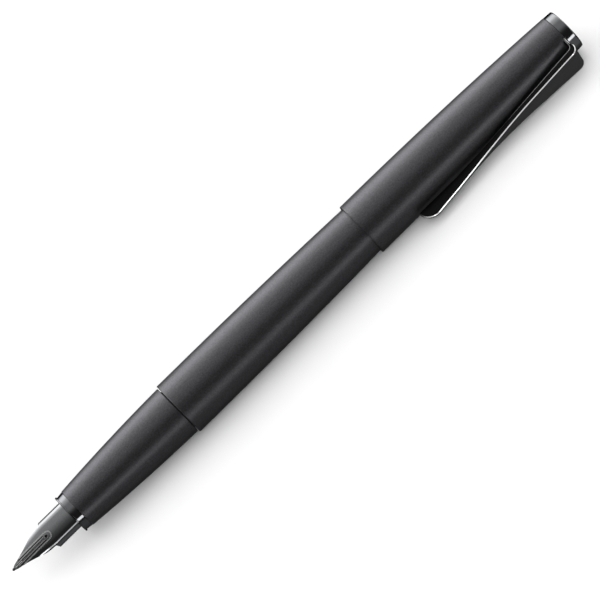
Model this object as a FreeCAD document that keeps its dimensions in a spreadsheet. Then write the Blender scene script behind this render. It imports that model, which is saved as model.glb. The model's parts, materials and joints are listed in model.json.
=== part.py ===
import FreeCAD, Part
import math
import os
import re

import Sketcher
from FreeCAD import Placement, Rotation, Vector

# Fountain pen with its cap posted on the tail, lying on its side and resting on its barrel, its cap
# and the edge of its clip.
#
# Every sub-part is modelled from the nib's point: its own X is the distance from that point along the
# pen's axis, and its Placement moves it into the shared frame (+X towards the finial, +Z up, origin on
# the surface under the middle of the pen's box). Lengths are in millimetres and angles in degrees.

DOC = FreeCAD.newDocument("fountain_pen")

SIZES = [
    # pen as a whole
    ("posted_length", 158.0),
    ("axis_shift", 1.33),
    ("axis_height", 6.37),
    ("fit_gap", 0.02),
    ("run_gap", 0.05),
    ("edge", 0.2),
    # nib: a steel sheet bent over the feed
    ("nib_sheet", 0.32),
    ("nib_front", 0.6),
    ("nib_shoulder", 9.92),
    ("nib_tail", 31.0),
    ("nib_half_flank", 3.34),
    ("nib_top_tip", 0.95),
    ("nib_top_rear", 2.55),
    ("nib_crown_tip", 4.0),
    ("nib_crown_rear", 10.5),
    ("nib_crown_angle", 8.0),
    ("nib_flank_bend", 2.2),
    ("nib_slit", 0.1),
    ("nib_breather", 0.31),
    ("nib_breather_place", 9.8),
    ("nib_roll", 44.7),
    ("tipping_ball", 0.3),
    # feed under the nib
    ("feed_front", 2.8),
    ("feed_mouth", 16.2),
    ("feed_rear", 38.3),
    ("feed_half_front", 0.45),
    ("feed_half_rear", 2.8),
    ("feed_edge_front", 1.2),
    ("feed_edge_rear", 0.8),
    ("feed_top_bend", 3.6),
    ("feed_belly_bend_front", 0.75),
    ("feed_belly_bend_rear", 2.95),
    ("feed_shank", 2.5),
    ("feed_drop", 0.38),
    ("fin_pitch", 1.5),
    ("fin_slot", 0.6),
    ("fin_root", 1.7),
    ("fin_count", 12.0),
    # section: trim ring, grip shell and threaded core
    ("ring_front", 16.3),
    ("ring_lip", 0.35),
    ("ring_lip_radius", 4.64),
    ("ring_waist", 4.4),
    ("ring_rear_radius", 4.56),
    ("ring_mouth", 3.6),
    ("ring_floor", 16.95),
    ("grip_front", 18.2),
    ("grip_rear", 46.8),
    ("grip_front_radius", 4.67),
    ("grip_rear_radius", 5.94),
    ("grip_curve", 452.0),
    ("core_nose", 4.0),
    ("core_rear_radius", 5.2),
    ("core_bore", 3.42),
    ("core_web_front", 38.5),
    ("core_web_rear", 43.0),
    ("thread_radius", 4.9),
    ("thread_end", 55.2),
    ("thread_pitch", 0.8),
    ("thread_depth", 0.28),
    ("thread_count", 9.0),
    ("chamber_radius", 4.15),
    ("nipple_radius", 1.5),
    ("nipple_end", 49.0),
    ("nipple_bore", 0.6),
    # converter
    ("socket_front", 43.6),
    ("socket_step", 51.0),
    ("socket_end", 53.0),
    ("socket_radius", 3.8),
    ("socket_floor", 50.0),
    ("ink_port", 1.0),
    ("tube_rear", 84.0),
    ("tube_radius", 3.7),
    ("tube_bore", 3.0),
    ("seal_front", 53.6),
    ("seal_rear", 57.6),
    ("seal_lip", 0.7),
    ("seal_waist", 2.5),
    ("rod_rear", 92.0),
    ("rod_radius", 1.6),
    ("rod_flat", 1.2),
    ("guide_rear", 88.2),
    ("sleeve_front", 79.0),
    ("sleeve_rear", 90.6),
    ("sleeve_radius", 3.95),
    ("sleeve_lip", 3.15),
    ("sleeve_lip_front", 89.7),
    ("knob_flange_rear", 89.5),
    ("knob_neck", 3.05),
    ("knob_body_front", 90.9),
    ("knob_body_radius", 3.5),
    ("knob_rear", 113.8),
    ("knob_bore", 1.72),
    ("knob_wall", 1.0),
    ("knob_groove", 0.5),
    ("knob_grooves", 18.0),
    # barrel
    ("barrel_front", 46.95),
    ("barrel_radius", 6.37),
    ("barrel_straight", 54.0),
    ("barrel_rear", 126.0),
    ("barrel_rear_radius", 4.71),
    ("barrel_curve", 1560.0),
    ("barrel_wall", 0.5),
    ("insert_front", 47.6),
    ("insert_rear", 56.5),
    ("plug_front", 123.0),
    ("plug_dome", 0.4),
    ("plug_radius", 4.17),
    # cap
    ("cap_front", 99.15),
    ("cap_rear", 155.8),
    ("cap_radius", 6.35),
    ("cap_rear_radius", 4.88),
    ("cap_curve", 1090.0),
    ("cap_wall", 0.35),
    ("cap_rear_wall", 0.4),
    ("clutch_front", 101.5),
    ("clutch_rear", 106.5),
    ("clutch_radius", 5.92),
    ("clutch_bore", 5.74),
    ("clutch_slot", 0.8),
    ("clutch_slots", 8.0),
    ("clutch_band", 1.4),
    ("liner_front", 127.6),
    ("liner_rear", 147.9),
    ("liner_radius", 5.5),
    ("liner_rear_radius", 4.75),
    ("liner_mouth", 4.85),
    ("liner_bore", 4.0),
    ("liner_floor", 146.9),
    ("nut_front", 148.1),
    ("nut_rear", 150.1),
    ("nut_radius", 2.6),
    ("crown_front", 150.2),
    ("crown_rear", 154.85),
    ("crown_radius", 4.45),
    ("stud_radius", 1.25),
    ("stud_end", 148.4),
    ("finial_boss", 4.35),
    ("finial_boss_front", 155.77),
    ("finial_front", 155.87),
    ("finial_radius", 4.83),
    ("finial_top_radius", 4.72),
    ("finial_edge", 0.3),
    # clip: a solid blade, upright at its free end and flat against the cap at its root
    ("clip_dip", 25.7),
    ("clip_end", 109.6),
    ("clip_reach", 9.84),
    ("clip_peak", 112.5),
    ("clip_heel", 6.75),
    ("clip_heel_end", 120.0),
    ("clip_bend_front", 125.5),
    ("clip_bend_front_reach", 8.33),
    ("clip_bend_rear", 142.0),
    ("clip_bend_rear_reach", 7.26),
    ("clip_bend_curve", 180.0),
    ("clip_top_reach", 7.14),
    ("clip_corner", 1.6),
    ("clip_rear", 156.0),
    ("clip_shelf", 5.35),
    ("clip_under", 5.68),
    ("clip_under_end", 154.5),
    ("tongue_front", 155.27),
    ("tongue_rear", 155.72),
    ("tongue_end", 1.7),
    ("blade_half", 0.42),
    ("blade_straight", 117.0),
    ("wedge_start", 134.0),
    ("wedge_start_half", 1.4),
    ("wedge_curve", 148.0),
    ("wedge_end", 154.3),
    ("wedge_end_half", 3.63),
    ("slot_gap", 0.15),
]

# Half the nib's width at shares of the way from its front to its shoulder.
NIB_TAPER = [
    (0.0, 0.40), (0.07, 0.60), (0.16, 0.78), (0.26, 1.02), (0.37, 1.30), (0.48, 1.61),
    (0.58, 1.93), (0.69, 2.28), (0.8, 2.52), (0.9, 2.63), (1.0, 2.67),
]
# Near the point the sheet's crown reaches this share of the way to its edge.
CROWN_SHARE = 0.8


def make_sheet():
    """Puts every driving size into the spreadsheet under its own name."""
    sheet = DOC.addObject("Spreadsheet::Sheet", "Sizes")
    for row, (name, size) in enumerate(SIZES, start=1):
        sheet.set(f"A{row}", name)
        sheet.set(f"B{row}", str(size))
        sheet.setAlias(f"B{row}", name)
    DOC.recompute()
    return sheet


SHEET = make_sheet()


def bound(expression):
    """Names in an outline's expression are cells of the sheet: a name before a bracket is a function."""
    return re.sub(r"\b([a-z][a-z_]*)\b(?!\()", r"Sizes.\1", expression)


def size(expression):
    """The present value of an expression in cell names."""
    return float(SHEET.evalExpression(bound(expression)))


AXIS_PLACE = Vector(-size("posted_length") / 2, size("axis_shift"), size("axis_height"))


def place(piece, roll=0.0):
    """Lays a piece along the pen's axis, turned about it by roll degrees."""
    piece.Placement = Placement(AXIS_PLACE, Rotation(Vector(1, 0, 0), roll))


def new_body(label, roll=0.0):
    body = DOC.addObject("PartDesign::Body", label)
    body.Label = label
    place(body, roll)
    return body


def new_sketch(body, name, plane, offset=None):
    """An empty sketch on one of the body's own origin planes, moved along its normal by offset."""
    sketch = body.newObject("Sketcher::SketchObject", name)
    support = [item for item in body.Origin.OriginFeatures if item.Role == plane][0]
    sketch.AttachmentSupport = [(support, "")]
    sketch.MapMode = "FlatFace"
    if offset is not None:
        sketch.setExpression("AttachmentOffset.Base.z", bound(offset))
    return sketch


def arc_between(start, end, radius, bulge):
    """The shorter arc from start to end. bulge is 1 where it swells to the left of the way, else -1."""
    chord = end - start
    left = Vector(-chord.y, chord.x, 0).normalize()
    rise = math.sqrt(radius ** 2 - (chord.Length / 2) ** 2)
    centre = (start + end) * 0.5 - left * (rise * bulge)
    first, last = (end, start) if bulge > 0 else (start, end)
    angles = [math.atan2(point.y - centre.y, point.x - centre.x) for point in (first, last)]
    return Part.ArcOfCircle(Part.Circle(centre, Vector(0, 0, 1), radius), angles[0], angles[1])


def draw(sketch, corners, arcs=None):
    """Closes an outline through corners, pairs of expressions, and binds each to the sheet.

    arcs gives the sides that are round: {number of the side: (radius expression, bulge)}.
    A corner whose second expression is "0" lies on the sketch's horizontal axis.
    """
    arcs = arcs or {}
    points = [Vector(size(across), size(up), 0) for across, up in corners]
    sides = []
    for number, start in enumerate(points):
        end = points[(number + 1) % len(points)]
        if number in arcs:
            radius, bulge = arcs[number]
            side = sketch.addGeometry(arc_between(start, end, size(radius), bulge), False)
            sides.append((side, 2, 1) if bulge > 0 else (side, 1, 2))
        else:
            side = sketch.addGeometry(Part.LineSegment(start, end), False)
            sides.append((side, 1, 2))
    for number, (side, _, far_end) in enumerate(sides):
        following, following_start, _ = sides[(number + 1) % len(sides)]
        sketch.addConstraint(Sketcher.Constraint("Coincident", side, far_end, following, following_start))
    for (side, start_end, _), (across, up), point in zip(sides, corners, points):
        bind(sketch, Sketcher.Constraint("DistanceX", -1, 1, side, start_end, point.x), across)
        if up == "0":
            sketch.addConstraint(Sketcher.Constraint("PointOnObject", side, start_end, -1))
        else:
            bind(sketch, Sketcher.Constraint("DistanceY", -1, 1, side, start_end, point.y), up)
    for number, (radius, _) in arcs.items():
        bind(sketch, Sketcher.Constraint("Radius", sides[number][0], size(radius)), radius)
    return sketch


def bind(sketch, constraint, expression):
    number = sketch.addConstraint(constraint)
    sketch.setExpression(f"Constraints[{number}]", bound(expression))


def turned(body, name, corners, arcs=None):
    """Turns an outline of (distance from the nib's point, radius) about the pen's axis."""
    sketch = draw(new_sketch(body, f"{name}_outline", "XZ_Plane"), corners, arcs)
    revolution = body.newObject("PartDesign::Revolution", name)
    revolution.Profile = sketch
    revolution.ReferenceAxis = (sketch, ["H_Axis"])
    revolution.Angle = 360
    DOC.recompute()


def turned_part(label, corners, arcs=None):
    body = new_body(label)
    turned(body, f"{label}_turning", corners, arcs)
    return body


def grooved(body, name, corners, step, count):
    """Cuts a groove round the body and repeats it along the axis, step apart."""
    before = body.Shape.Volume
    sketch = draw(new_sketch(body, f"{name}_outline", "XZ_Plane"), corners)
    groove = body.newObject("PartDesign::Groove", name)
    groove.Profile = sketch
    groove.ReferenceAxis = (sketch, ["H_Axis"])
    groove.Angle = 360
    DOC.recompute()
    repeated(body, f"{name}_row", groove, sketch, "H_Axis", step, count)
    expect_less(body, before)


def repeated(body, name, feature, sketch, axis, step, count):
    pattern = body.newObject("PartDesign::LinearPattern", name)
    pattern.Originals = [feature]
    pattern.Direction = (sketch, [axis])
    pattern.setExpression("Length", bound(f"{step} * ({count} - 1)"))
    pattern.setExpression("Occurrences", bound(count))
    body.Tip = pattern
    DOC.recompute()


def ringed(body, name, feature, count):
    """Repeats a feature round the pen's axis."""
    pattern = body.newObject("PartDesign::PolarPattern", name)
    pattern.Originals = [feature]
    pattern.Axis = ([item for item in body.Origin.OriginFeatures if item.Role == "X_Axis"][0], [""])
    pattern.Angle = 360
    pattern.setExpression("Occurrences", bound(count))
    body.Tip = pattern
    DOC.recompute()


def pocketed(body, name, plane, corners, arcs=None):
    """Cuts an outline through the whole body, both ways from the plane."""
    before = body.Shape.Volume
    sketch = draw(new_sketch(body, f"{name}_outline", plane), corners, arcs)
    pocket = body.newObject("PartDesign::Pocket", name)
    pocket.Profile = sketch
    pocket.Type = "ThroughAll"
    pocket.Midplane = True
    DOC.recompute()
    expect_less(body, before)


def expect_less(body, before):
    if body.Shape.Volume >= before - 1e-6:
        raise RuntimeError(f"a cut in {body.Label} removed nothing")


# ---------------------------------------------------------------- nib and feed


def nib_section(distance, half, crown, top):
    """The bent sheet's closed outline across the pen: a wide crown arc between two tighter flank arcs."""
    sheet, flank = size("nib_sheet"), size("nib_flank_bend")
    turn = min(math.radians(size("nib_crown_angle")), CROWN_SHARE * math.asin(half / crown))
    edge_turn = math.asin((half - (crown - flank) * math.sin(turn)) / flank)

    def point(angle, depth):
        """A point at an angle from the middle of the back, at a depth under the sheet's outer face."""
        in_flank = (crown - flank) if angle > turn else 0
        radius = (flank if angle > turn else crown) - depth
        across = in_flank * math.sin(turn) + radius * math.sin(angle)
        up = top - crown + in_flank * math.cos(turn) + radius * math.cos(angle)
        return Vector(distance, across, up)

    edges = []
    middle = (turn + edge_turn) / 2
    for depth in (0, sheet):
        flank_arc = [point(edge_turn, depth), point(middle, depth), point(turn, depth)]
        crown_arc = [point(turn, depth), point(0, depth), mirrored(point(turn, depth))]
        other_arc = [mirrored(corner) for corner in reversed(flank_arc)]
        arcs = [flank_arc, crown_arc, other_arc]
        if depth:
            arcs = [list(reversed(arc)) for arc in reversed(arcs)]
        edges.append([Part.Arc(*arc).toShape() for arc in arcs])
    right = [point(edge_turn, sheet), point(edge_turn, 0)]
    left = [mirrored(corner) for corner in reversed(right)]
    return Part.Wire(edges[0] + [Part.makeLine(*left)] + edges[1] + [Part.makeLine(*right)])


def mirrored(point):
    return Vector(point.x, -point.y, point.z)


def nib_top(distance):
    """Height of the nib's back above the pen's axis: it falls faster towards the point."""
    left = 1 - distance / size("nib_shoulder")
    return size("nib_top_rear") - (size("nib_top_rear") - size("nib_top_tip")) * left ** 2


def make_nib():
    """A sheet bent round the feed: straight flanks, then an S-shaped taper to the point, split to the hole."""
    stations = []
    for share, half in NIB_TAPER:
        distance = size("nib_front") + (size("nib_shoulder") - size("nib_front")) * share
        crown = size("nib_crown_tip") + (size("nib_crown_rear") - size("nib_crown_tip")) * share
        stations.append(nib_section(distance, half, crown, nib_top(distance)))
    taper = Part.makeLoft(stations, True, False)
    flank = [size("nib_half_flank"), size("nib_crown_rear"), size("nib_top_rear")]
    ends = [nib_section(size("nib_shoulder"), *flank), nib_section(size("nib_tail"), *flank)]
    sheet = taper.fuse(Part.makeLoft(ends, True, True))
    slit_width = size("nib_slit")
    slit_length = size("nib_breather_place") - size("nib_front")
    slit_start = Vector(size("nib_front") - 1, -slit_width / 2, 0)
    over_back = size("nib_top_rear") + size("edge")
    slit = Part.makeBox(slit_length + 1, slit_width, over_back, slit_start)
    hole_foot = Vector(size("nib_breather_place"), 0, 0)
    hole = Part.makeCylinder(size("nib_breather"), over_back, hole_foot)
    nib = DOC.addObject("Part::Feature", "nib")
    nib.Label = "nib"
    nib.Shape = sheet.cut(slit).cut(hole)
    place(nib, size("nib_roll"))
    return nib


def make_tipping():
    """The hard ball welded to the nib's point."""
    ball = DOC.addObject("Part::Sphere", "nib_tipping")
    ball.Label = "nib_tipping"
    ball.setExpression("Radius", "Sizes.tipping_ball")
    turn = Rotation(Vector(1, 0, 0), size("nib_roll"))
    height = nib_top(size("nib_front")) - size("nib_sheet") / 2
    ball.Placement = Placement(AXIS_PLACE + turn.multVec(Vector(size("tipping_ball"), 0, height)), turn)
    return ball


def make_feed():
    """A black plastic feed: a wedge that carries the nib, and a finned shank inside the section."""
    body = new_body("feed", size("nib_roll"))
    sections = []
    station_count = 4
    for number in range(station_count):
        share = f"{number / (station_count - 1):.4f}"
        blend = f"({share} * (2 - {share}))"
        half = f"feed_half_front + (feed_half_rear - feed_half_front) * {blend}"
        level = f"feed_edge_front + (feed_edge_rear - feed_edge_front) * {blend}"
        belly = f"feed_belly_bend_front + (feed_belly_bend_rear - feed_belly_bend_front) * {blend}"
        offset = f"feed_front + (feed_mouth - feed_front) * {share}"
        sketch = new_sketch(body, f"feed_section_{number}", "YZ_Plane", offset)
        corners = [(f"-({half})", level), (half, level)]
        sections.append(draw(sketch, corners, {0: (belly, -1), 1: ("feed_top_bend", -1)}))
    wedge = body.newObject("PartDesign::AdditiveLoft", "feed_wedge")
    wedge.Profile = sections[0]
    wedge.Sections = sections[1:]
    DOC.recompute()
    shank_sketch = new_sketch(body, "shank_outline", "YZ_Plane", "feed_mouth")
    circle_at = Vector(0, -size("feed_drop"), 0)
    circle = Part.Circle(circle_at, Vector(0, 0, 1), size("feed_shank"))
    shank_sketch.addGeometry(circle, False)
    shank_sketch.addConstraint(Sketcher.Constraint("PointOnObject", 0, 3, -2))
    bind(shank_sketch, Sketcher.Constraint("DistanceY", 0, 3, -1, 1, size("feed_drop")), "feed_drop")
    bind(shank_sketch, Sketcher.Constraint("Radius", 0, size("feed_shank")), "feed_shank")
    shank = body.newObject("PartDesign::Pad", "shank")
    shank.Profile = shank_sketch
    shank.setExpression("Length", bound("feed_rear - feed_mouth"))
    DOC.recompute()
    fin_start = "feed_mouth + 2 * fin_pitch"
    fin_end = f"{fin_start} + fin_slot"
    corners = [
        (fin_start, "fin_root"), (fin_end, "fin_root"),
        (fin_end, "feed_shank + feed_drop + edge"), (fin_start, "feed_shank + feed_drop + edge"),
    ]
    grooved(body, "fin_slots", corners, "fin_pitch", "fin_count")
    return body


# ---------------------------------------------------------------- section


def make_section():
    """Trim ring, grip shell and the core that carries the nib, the thread and the ink nipple."""
    lip_end = "ring_front + ring_lip"
    ring_end = "grip_front - fit_gap"
    ring = turned_part("trim_ring", [
        ("ring_front", "ring_mouth"), ("ring_front", "ring_lip_radius - edge / 2"),
        ("ring_front + edge / 2", "ring_lip_radius"), (lip_end, "ring_lip_radius"),
        (lip_end, "ring_waist"), (ring_end, "ring_rear_radius"), (ring_end, "core_nose + fit_gap"),
        ("ring_floor", "core_nose + fit_gap"), ("ring_floor", "ring_mouth"),
    ])
    grip = turned_part("grip_shell", [
        ("grip_front", "core_nose + fit_gap"), ("grip_front", "grip_front_radius - edge / 2"),
        ("grip_front + edge / 2", "grip_front_radius"), ("grip_rear - edge", "grip_rear_radius"),
        ("grip_rear", "grip_rear_radius - edge"), ("grip_rear", "core_rear_radius + fit_gap"),
    ], {2: ("grip_curve", 1)})
    core_shoulder = "grip_rear + fit_gap"
    core = turned_part("section_core", [
        ("ring_floor + fit_gap", "core_bore"), ("ring_floor + fit_gap", "core_nose"),
        ("grip_front", "core_nose"), ("grip_rear", "core_rear_radius"), (core_shoulder, "thread_radius"),
        ("thread_end - edge", "thread_radius"), ("thread_end", "thread_radius - edge"),
        ("thread_end", "chamber_radius"), ("core_web_rear", "chamber_radius"),
        ("core_web_rear", "nipple_radius"), ("nipple_end - edge", "nipple_radius"),
        ("nipple_end", "nipple_radius - edge"), ("nipple_end", "nipple_bore"),
        ("core_web_front", "nipple_bore"), ("core_web_front", "core_bore"),
    ])
    first = "grip_rear + thread_pitch"
    grooved(core, "thread", [
        (first, "thread_radius + edge"), (f"{first} + thread_pitch / 2", "thread_radius - thread_depth"),
        (f"{first} + thread_pitch * 0.9", "thread_radius + edge"),
    ], "thread_pitch", "thread_count")
    return [ring, grip, core]


# ---------------------------------------------------------------- converter


def make_converter():
    """A piston converter: socket, tube, sleeve, guide, knob, rod and seal."""
    socket = turned_part("converter_socket", [
        ("socket_front", "nipple_radius + run_gap"), ("socket_front", "socket_radius - edge"),
        ("socket_front + edge", "socket_radius"), ("socket_step", "socket_radius"),
        ("socket_step", "tube_bore - fit_gap"), ("socket_end", "tube_bore - fit_gap"),
        ("socket_end", "ink_port"), ("socket_floor", "ink_port"),
        ("socket_floor", "nipple_radius + run_gap"),
    ])
    tube = turned_part("converter_tube", [
        ("socket_step + fit_gap", "tube_bore"), ("socket_step + fit_gap", "tube_radius"),
        ("tube_rear", "tube_radius"), ("tube_rear", "tube_bore"),
    ])
    sleeve = turned_part("converter_sleeve", [
        ("sleeve_front", "tube_radius + fit_gap"), ("sleeve_front", "sleeve_radius - edge / 2"),
        ("sleeve_front + edge / 2", "sleeve_radius"), ("sleeve_rear - edge", "sleeve_radius"),
        ("sleeve_rear", "sleeve_radius - edge"), ("sleeve_rear", "sleeve_lip"),
        ("sleeve_lip_front", "sleeve_lip"), ("sleeve_lip_front", "tube_radius + fit_gap"),
    ])
    knob = turned_part("converter_knob", [
        ("guide_rear + run_gap", "knob_bore"), ("guide_rear + run_gap", "tube_radius - run_gap"),
        ("knob_flange_rear", "tube_radius - run_gap"), ("knob_flange_rear", "knob_neck"),
        ("knob_body_front", "knob_neck"), ("knob_body_front", "knob_body_radius - edge"),
        ("knob_body_front + edge", "knob_body_radius"), ("knob_rear - edge * 2", "knob_body_radius"),
        ("knob_rear", "knob_body_radius - edge * 2"), ("knob_rear", "0"),
        ("knob_rear - knob_wall", "0"), ("knob_rear - knob_wall", "knob_bore"),
    ])
    before = knob.Shape.Volume
    sketch = new_sketch(knob, "grip_groove_outline", "YZ_Plane", "knob_body_front + 2 * knob_wall")
    draw(sketch, [
        ("-knob_groove / 2", "knob_body_radius + edge"), ("-knob_groove / 4", "knob_body_radius - edge"),
        ("knob_groove / 4", "knob_body_radius - edge"), ("knob_groove / 2", "knob_body_radius + edge"),
    ])
    groove = knob.newObject("PartDesign::Pocket", "grip_groove")
    groove.Profile = sketch
    groove.Reversed = True
    groove.setExpression("Length", bound("knob_rear - knob_body_front - 4 * knob_wall"))
    DOC.recompute()
    expect_less(knob, before)
    ringed(knob, "grip_grooves", groove, "knob_grooves")
    seal = turned_part("piston_seal", [
        ("seal_front", "0"), ("seal_front", "seal_waist"),
        ("seal_front + seal_lip / 2", "tube_bore - run_gap"), ("seal_front + seal_lip", "tube_bore - run_gap"),
        ("seal_front + 1.5 * seal_lip", "seal_waist"), ("seal_rear - 1.5 * seal_lip", "seal_waist"),
        ("seal_rear - seal_lip", "tube_bore - run_gap"), ("seal_rear - seal_lip / 2", "tube_bore - run_gap"),
        ("seal_rear", "seal_waist"), ("seal_rear", "0"),
    ])
    return [socket, tube, sleeve, knob, seal] + make_rod_and_guide()


def flatted_bar(name, start, end, gap):
    """A round bar with two flats, from start to end along the pen, larger by gap all round."""
    bar = DOC.addObject("Part::Cylinder", f"{name}_round")
    bar.setExpression("Radius", bound(f"rod_radius + {gap}"))
    bar.setExpression("Height", bound(f"{end} - ({start})"))
    bar.Placement = Placement(Vector(0, 0, 0), Rotation(Vector(0, 1, 0), 90))
    bar.setExpression("Placement.Base.x", bound(start))
    slab = DOC.addObject("Part::Box", f"{name}_slab")
    slab.setExpression("Length", bound(f"{end} - ({start})"))
    slab.setExpression("Width", bound("4 * rod_radius"))
    slab.setExpression("Height", bound(f"2 * (rod_flat + {gap})"))
    slab.setExpression("Placement.Base.x", bound(start))
    slab.setExpression("Placement.Base.y", bound("-2 * rod_radius"))
    slab.setExpression("Placement.Base.z", bound(f"-(rod_flat + {gap})"))
    common = DOC.addObject("Part::Common", name)
    common.Base = bar
    common.Tool = slab
    return common


def make_rod_and_guide():
    """The rod's flats run in the guide, so the knob's thread can only pull it along."""
    rod = flatted_bar("piston_rod", "seal_rear + fit_gap", "rod_rear", "0")
    rod.Label = "piston_rod"
    place(rod)
    blank = DOC.addObject("Part::Cylinder", "guide_blank")
    blank.setExpression("Radius", bound("tube_radius"))
    blank.setExpression("Height", bound("guide_rear - tube_rear - fit_gap"))
    blank.Placement = Placement(Vector(0, 0, 0), Rotation(Vector(0, 1, 0), 90))
    blank.setExpression("Placement.Base.x", bound("tube_rear + fit_gap"))
    guide = DOC.addObject("Part::Cut", "rod_guide")
    guide.Base = blank
    guide.Tool = flatted_bar("guide_hole", "tube_rear - 1", "guide_rear + 1", "run_gap")
    guide.Label = "rod_guide"
    place(guide)
    DOC.recompute()
    return [rod, guide]


# ---------------------------------------------------------------- barrel


def make_barrel():
    """A tapering steel tube with a threaded brass insert in front and a plug at its tail."""
    barrel = turned_part("barrel", [
        ("barrel_front", "barrel_radius - barrel_wall"), ("barrel_front", "barrel_radius - edge"),
        ("barrel_front + edge", "barrel_radius"), ("barrel_straight", "barrel_radius"),
        ("barrel_rear - edge", "barrel_rear_radius"), ("barrel_rear", "barrel_rear_radius - edge"),
        ("barrel_rear", "barrel_rear_radius - barrel_wall"),
        ("barrel_straight", "barrel_radius - barrel_wall"),
    ], {3: ("barrel_curve", 1), 6: ("barrel_curve", -1)})
    insert_bore = "thread_radius + run_gap"
    insert_radius = "barrel_radius - barrel_wall - fit_gap"
    insert = turned_part("barrel_thread_insert", [
        ("insert_front", f"{insert_bore} + edge"), ("insert_front", f"{insert_radius} - edge"),
        ("insert_front + edge", insert_radius), ("barrel_straight", insert_radius),
        ("insert_rear", f"{insert_radius} - edge"), ("insert_rear", insert_bore),
        ("insert_front + edge", insert_bore),
    ])
    plug = turned_part("barrel_end_plug", [
        ("plug_front", "0"), ("plug_front", "plug_radius"), ("barrel_rear", "plug_radius"),
        ("barrel_rear + plug_dome", "plug_radius - plug_dome"), ("barrel_rear + plug_dome", "0"),
    ])
    return [barrel, insert, plug]


# ---------------------------------------------------------------- cap and clip


def make_cap():
    """Cap tube, spring clutch, inner cap, crown plug, finial with its stud, and the nut that holds them."""
    clip_roll = 90 + size("clip_dip")
    shell = new_body("cap_shell", clip_roll)
    turned(shell, "cap_turning", [
        ("cap_front", "cap_radius - cap_wall"), ("cap_front", "cap_radius - edge / 2"),
        ("cap_front + edge / 2", "cap_radius"), ("cap_rear", "cap_rear_radius"),
        ("cap_rear", "cap_rear_radius - cap_rear_wall"),
    ], {2: ("cap_curve", 1), 4: ("cap_curve", -1)})
    cut_slot(shell)
    clutch = new_body("cap_clutch_ring", clip_roll)
    turned(clutch, "clutch_turning", [
        ("clutch_front", "clutch_bore"), ("clutch_front", "clutch_radius"),
        ("clutch_rear", "clutch_radius"), ("clutch_rear", "clutch_bore"),
    ])
    cut_fingers(clutch)
    liner = turned_part("inner_cap", [
        ("liner_front", "liner_mouth"), ("liner_front", "liner_radius"),
        ("liner_rear", "liner_rear_radius"), ("liner_rear", "0"), ("liner_floor", "0"),
        ("liner_floor", "liner_bore"), ("liner_front + 10 * edge", "liner_mouth - edge"),
    ])
    crown = turned_part("cap_crown_plug", [
        ("crown_front", "stud_radius + run_gap"), ("crown_front", "crown_radius"),
        ("crown_rear", "crown_radius"), ("crown_rear", "stud_radius + run_gap"),
    ])
    finial = turned_part("finial", [
        ("stud_end", "0"), ("stud_end", "stud_radius"), ("finial_boss_front", "stud_radius"),
        ("finial_boss_front", "finial_boss"), ("finial_front", "finial_boss"),
        ("finial_front", "finial_radius - edge / 2"), ("finial_front + edge / 2", "finial_radius"),
        ("posted_length - finial_edge", "finial_top_radius"),
        ("posted_length", "finial_top_radius - finial_edge"), ("posted_length", "0"),
    ])
    return [shell, clutch, liner, crown, finial, make_nut()]


def cut_slot(shell):
    """Opens the cap's rim on the clip's side for the tongue, from the axis outwards."""
    before = shell.Shape.Volume
    half = "wedge_end_half + slot_gap"
    slot_start = "tongue_front - slot_gap"
    sketch = draw(new_sketch(shell, "slot_outline", "XY_Plane"), [
        (slot_start, f"-({half})"), ("cap_rear + edge", f"-({half})"),
        ("cap_rear + edge", half), (slot_start, half),
    ])
    slot = shell.newObject("PartDesign::Pocket", "tongue_slot")
    slot.Profile = sketch
    slot.Reversed = True
    slot.setExpression("Length", bound("2 * cap_radius"))
    DOC.recompute()
    expect_less(shell, before)


def cut_fingers(clutch):
    """Slots that leave spring fingers on one solid band."""
    before = clutch.Shape.Volume
    finger_end = "clutch_rear - clutch_band"
    sketch = draw(new_sketch(clutch, "finger_slot_outline", "XY_Plane"), [
        ("clutch_front - edge", "-clutch_slot / 2"), (finger_end, "-clutch_slot / 2"),
        (finger_end, "clutch_slot / 2"), ("clutch_front - edge", "clutch_slot / 2"),
    ])
    slot = clutch.newObject("PartDesign::Pocket", "finger_slot")
    slot.Profile = sketch
    slot.Reversed = True
    slot.setExpression("Length", bound("2 * clutch_radius"))
    DOC.recompute()
    expect_less(clutch, before)
    ringed(clutch, "finger_slots", slot, "clutch_slots")


def make_nut():
    """A hexagonal nut on the finial's stud."""
    blank = DOC.addObject("Part::Prism", "nut_blank")
    blank.Polygon = 6
    blank.setExpression("Circumradius", "Sizes.nut_radius")
    blank.setExpression("Height", bound("nut_rear - nut_front"))
    hole = DOC.addObject("Part::Cylinder", "nut_hole")
    hole.setExpression("Radius", bound("stud_radius + run_gap"))
    hole.setExpression("Height", bound("nut_rear - nut_front"))
    for piece in (blank, hole):
        piece.Placement = Placement(Vector(0, 0, 0), Rotation(Vector(0, 1, 0), 90))
        piece.setExpression("Placement.Base.x", "Sizes.nut_front")
    nut = DOC.addObject("Part::Cut", "finial_nut")
    nut.Base = blank
    nut.Tool = hole
    nut.Label = "finial_nut"
    place(nut)
    DOC.recompute()
    return nut


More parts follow.
